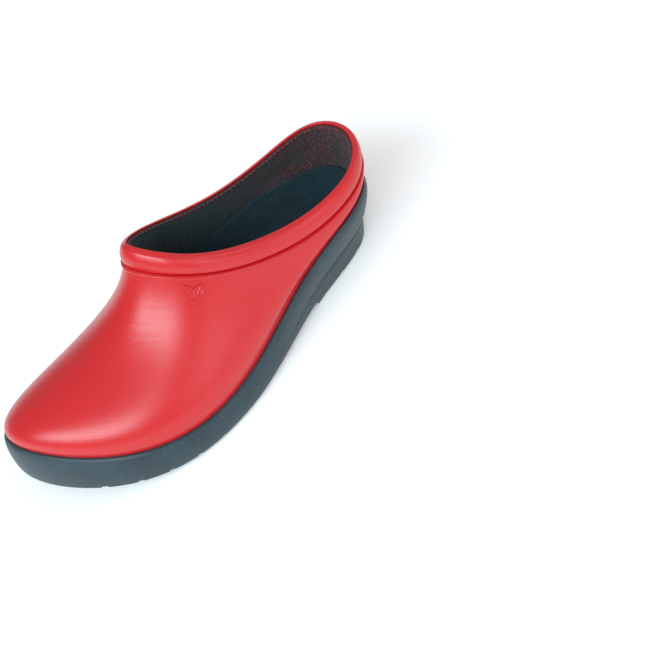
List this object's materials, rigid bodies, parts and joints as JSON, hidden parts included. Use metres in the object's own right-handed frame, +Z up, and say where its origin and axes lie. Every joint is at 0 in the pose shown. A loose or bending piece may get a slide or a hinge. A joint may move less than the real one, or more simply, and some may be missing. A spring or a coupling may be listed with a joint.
{
  "type": "rubber garden clog",
  "caption": "Slip-on garden clog, left shoe: moulded rubber upper with a rolled collar, mesh lining, lift-out contoured insole and a grooved outsole with a low heel block.",
  "frame": {"origin": "on the ground, under the middle of the clog's bounding box", "axes": "+X from the heel to the toe, +Y to the outer side of the left foot, +Z up"},
  "size_m": [0.271, 0.11, 0.1039],
  "materials": {
    "upper_rubber": "red moulded rubber, satin gloss",
    "lining_mesh": "dark green-black knitted mesh with small reddish dots",
    "edge_thread": "reddish stitched edge, matte",
    "sole_rubber": "dark slate rubber, fine grain, low sheen",
    "board": "matte fibre board",
    "board_thread": "dark twisted thread, matte",
    "insole_foam": "dark closed-cell foam, matte",
    "insole_fabric": "dark slate-blue brushed textile, matte"
  },
  "bodies": {
    "clog": {"upper_shell": "upper_rubber", "lining_sock": "lining_mesh", "lining_edge_stitch": "edge_thread", "outsole": "sole_rubber", "lasting_board": "board", "board_stitch": "board_thread", "insole_foam_front": "insole_foam", "insole_cover_front": "insole_fabric"},
    "insole_rear": {"insole_foam_rear": "insole_foam", "insole_cover_rear": "insole_fabric"}
  },
  "joints": [
    {"name": "insole_peel", "type": "hinge", "parent": "clog", "child": "insole_rear", "pos_m": [0.0201, 0, 0.036], "axis": [0, 1, 0], "range_deg": [0, 10]}
  ]
}
